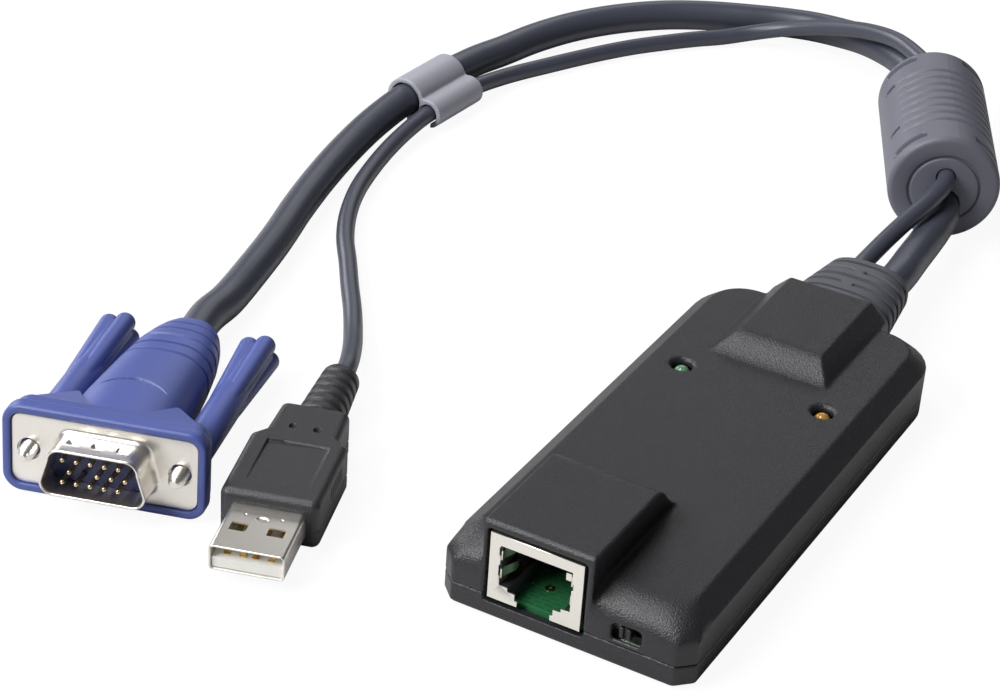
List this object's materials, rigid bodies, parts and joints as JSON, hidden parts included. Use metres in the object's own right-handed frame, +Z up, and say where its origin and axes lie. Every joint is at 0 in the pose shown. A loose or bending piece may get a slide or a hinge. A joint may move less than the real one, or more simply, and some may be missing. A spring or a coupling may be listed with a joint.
{
  "type": "kvm server interface module",
  "caption": "Black plastic pod with a network socket and slide switch, joined by cords through a ferrite sleeve to a video plug and a serial bus plug.",
  "frame": {"origin": "middle of the pod's underside, which lies on the surface", "axes": "+Z up; -Y out of the network socket's face, +Y towards the cord entry; +X to the right seen from the socket's face"},
  "size_m": [0.1357, 0.2409, 0.0214],
  "materials": {
    "housing_black": "fine grained, matte",
    "zinc_steel": "zinc plated",
    "board_green": "lacquered circuit board",
    "tinned_steel": "tinned sheet",
    "socket_black": "moulded, smooth",
    "gold_plate": "gold plated",
    "green_lens": "tinted clear resin, unlit",
    "amber_lens": "tinted clear resin, unlit",
    "chip_black": "moulded epoxy",
    "capacitor_aluminium": "drawn can",
    "ceramic_tan": "fired ceramic",
    "nylon_white": "moulded nylon",
    "wire_red": "insulated wire",
    "boot_grey": "ribbed soft moulding",
    "ferrite_dark": "sintered ferrite",
    "sleeve_grey": "ribbed hinged sleeve, matte",
    "clip_grey": "moulded, satin",
    "cord_slate": "smooth vinyl jacket",
    "plug_blue": "soft vinyl overmould",
    "plug_nickel": "nickel plated",
    "insulator_blue": "moulded",
    "pin_nickel": "plated pins",
    "mould_black": "moulded, matte",
    "tongue_white": "moulded"
  },
  "bodies": {
    "module": {"top_cover": "housing_black", "bottom_cover": "housing_black", "cover_screws": "zinc_steel", "main_board": "board_green", "rj45_shield": "tinned_steel", "rj45_insert": "socket_black", "rj45_contacts": "gold_plate", "link_lamp": "green_lens", "power_lamp": "amber_lens", "lamp_legs": "tinned_steel", "switch_case": "tinned_steel", "switch_terminals": "gold_plate", "network_transformer": "chip_black", "main_processor": "chip_black", "memory_chip": "chip_black", "video_chip": "chip_black", "chip_legs": "tinned_steel", "crystal_can": "tinned_steel", "can_capacitors": "capacitor_aluminium", "chip_capacitors": "ceramic_tan", "chip_resistors": "chip_black", "voltage_regulator": "chip_black", "cord_header": "nylon_white", "header_plug": "nylon_white", "inner_wires": "wire_red", "cord_boot": "boot_grey", "ferrite_core": "ferrite_dark", "ferrite_jacket": "sleeve_grey", "cord_clip": "clip_grey", "video_cord": "cord_slate", "usb_cord": "cord_slate", "vga_hood": "plug_blue", "vga_plate": "plug_nickel", "vga_rear_shell": "plug_nickel", "vga_insulator": "insulator_blue", "vga_pins": "pin_nickel", "usb_mould": "mould_black", "usb_shell": "plug_nickel", "usb_tongue": "tongue_white", "usb_contacts": "gold_plate"},
    "lever": {"switch_lever": "socket_black"},
    "left_thumbscrew": {"left_grip": "plug_blue", "left_jackscrew": "plug_nickel"},
    "right_thumbscrew": {"right_grip": "plug_blue", "right_jackscrew": "plug_nickel"}
  },
  "joints": [
    {"name": "lever_slide", "type": "slide", "parent": "module", "child": "lever", "axis": [1, 0, 0], "range_m": [0, 0.0015]},
    {"name": "left_thumbscrew_turn", "type": "hinge", "parent": "module", "child": "left_thumbscrew", "pos_m": [-0.08969, -0.061, 0.0079], "axis": [0.295, -0.9531, 0.068], "continuous": true},
    {"name": "right_thumbscrew_turn", "type": "hinge", "parent": "module", "child": "right_thumbscrew", "pos_m": [-0.06581, -0.0536, 0.0079], "axis": [0.295, -0.9531, 0.068], "continuous": true}
  ]
}
